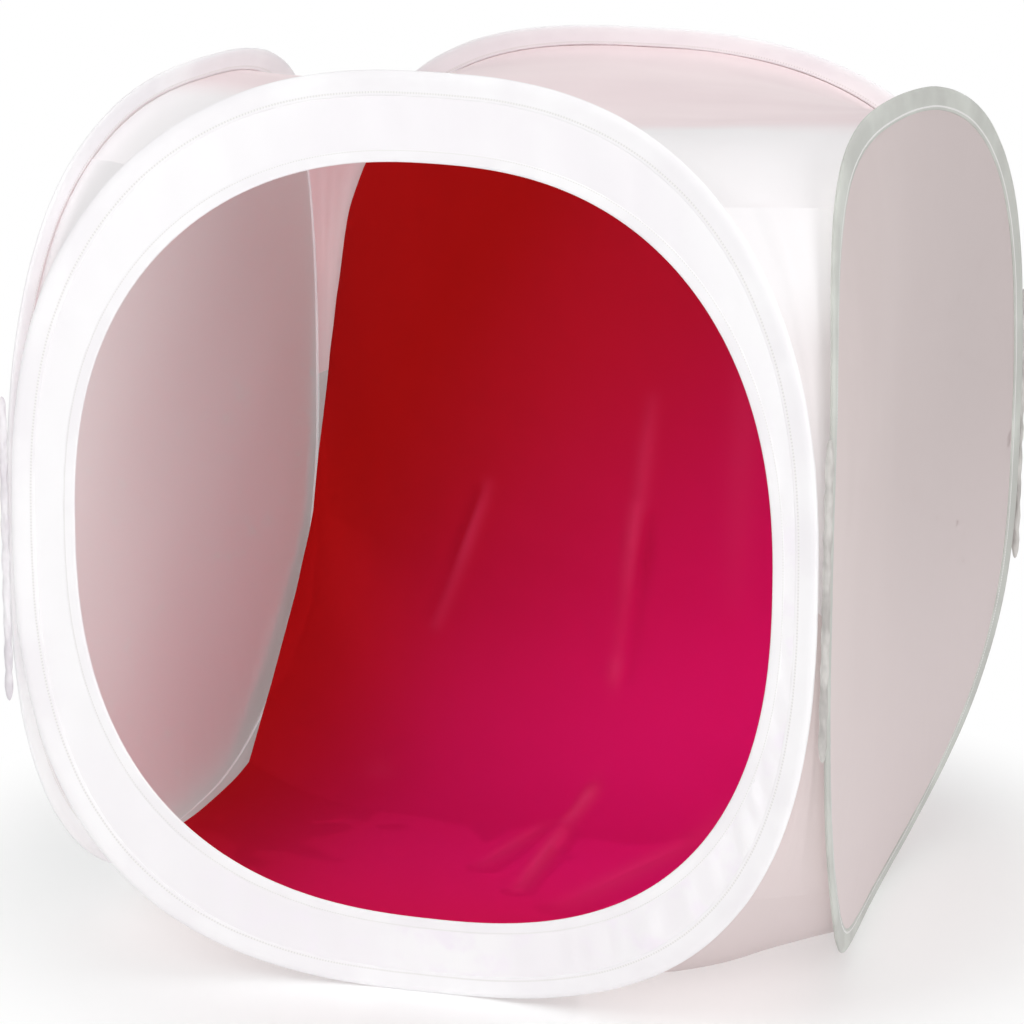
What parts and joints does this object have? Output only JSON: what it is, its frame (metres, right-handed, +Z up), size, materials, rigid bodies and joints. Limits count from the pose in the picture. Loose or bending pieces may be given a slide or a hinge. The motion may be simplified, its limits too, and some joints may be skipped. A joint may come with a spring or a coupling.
{
  "type": "collapsible light tent",
  "caption": "Pop-up photography light tent: four sprung hoops in cloth sleeves hinged at the corners, translucent walls, open front and a swept backdrop.",
  "frame": {"origin": "on the table, under the middle of the open tent", "axes": "+Z up, the open front faces -Y, +X to the right seen from the front"},
  "size_m": [0.7885, 0.817, 0.852],
  "materials": {
    "white_cloth": "thin woven nylon, slightly translucent",
    "grey_cloth": "thin translucent woven nylon",
    "sleeve_cloth": "folded and sewn nylon",
    "roof_cloth": "thin translucent nylon, faintly streaked",
    "seam_cloth": "rolled and stitched",
    "backdrop_cloth": "matt velvet-like cloth",
    "spring_steel": "tempered flat strip",
    "ferrule_steel": "crimped sheet"
  },
  "bodies": {
    "front": {"front_sleeve": "sleeve_cloth", "front_hoop_wire": "spring_steel", "front_ferrule": "ferrule_steel", "front_border": "white_cloth", "opening_hem": "white_cloth", "front_right_seam": "seam_cloth"},
    "right": {"right_sleeve": "sleeve_cloth", "right_hoop_wire": "spring_steel", "right_ferrule": "ferrule_steel", "right_panel": "grey_cloth", "back_right_seam": "seam_cloth"},
    "left": {"left_sleeve": "sleeve_cloth", "left_hoop_wire": "spring_steel", "left_ferrule": "ferrule_steel", "left_panel": "grey_cloth", "front_left_seam": "seam_cloth"},
    "back": {"back_sleeve": "sleeve_cloth", "back_hoop_wire": "spring_steel", "back_ferrule": "ferrule_steel", "back_panel": "grey_cloth", "backdrop_strip": "white_cloth", "back_left_seam": "seam_cloth"},
    "soft_panels": {"top_panel": "roof_cloth", "bottom_panel": "roof_cloth", "backdrop": "backdrop_cloth", "front_right_upper_gusset": "roof_cloth", "back_right_upper_gusset": "roof_cloth", "back_left_upper_gusset": "roof_cloth", "front_left_upper_gusset": "roof_cloth", "front_right_lower_gusset": "roof_cloth", "back_right_lower_gusset": "roof_cloth", "back_left_lower_gusset": "roof_cloth", "front_left_lower_gusset": "roof_cloth"}
  },
  "joints": [
    {"name": "left_fold", "type": "hinge", "parent": "front", "child": "left", "pos_m": [-0.388, -0.404, 0.4], "axis": [0, 0, -1], "range_deg": [0, 40], "stiffness_Nm_per_rad": 0.6},
    {"name": "right_fold", "type": "hinge", "parent": "front", "child": "right", "pos_m": [0.388, -0.404, 0.4], "axis": [0, 0, -1], "range_deg": [0, 40]},
    {"name": "back_fold", "type": "hinge", "parent": "left", "child": "back", "pos_m": [-0.388, 0.404, 0.4], "axis": [0, 0, -1], "range_deg": [-40, 0]},
    {"name": "cloth_shift", "type": "slide", "parent": "front", "child": "soft_panels", "axis": [0.9397, -0.342, 0], "range_m": [0, 0.5528], "deforming": ["top_panel", "bottom_panel", "backdrop", "front_right_upper_gusset", "back_right_upper_gusset", "back_left_upper_gusset", "front_left_upper_gusset", "front_right_lower_gusset", "back_right_lower_gusset", "back_left_lower_gusset", "front_left_lower_gusset"]}
  ],
  "couplings": [
    {"joint": "right_fold", "follows": "left_fold", "ratio": 1},
    {"joint": "back_fold", "follows": "left_fold", "ratio": -1},
    {"joint": "cloth_shift", "follows": "left_fold", "m_per_rad": 0.7917}
  ]
}
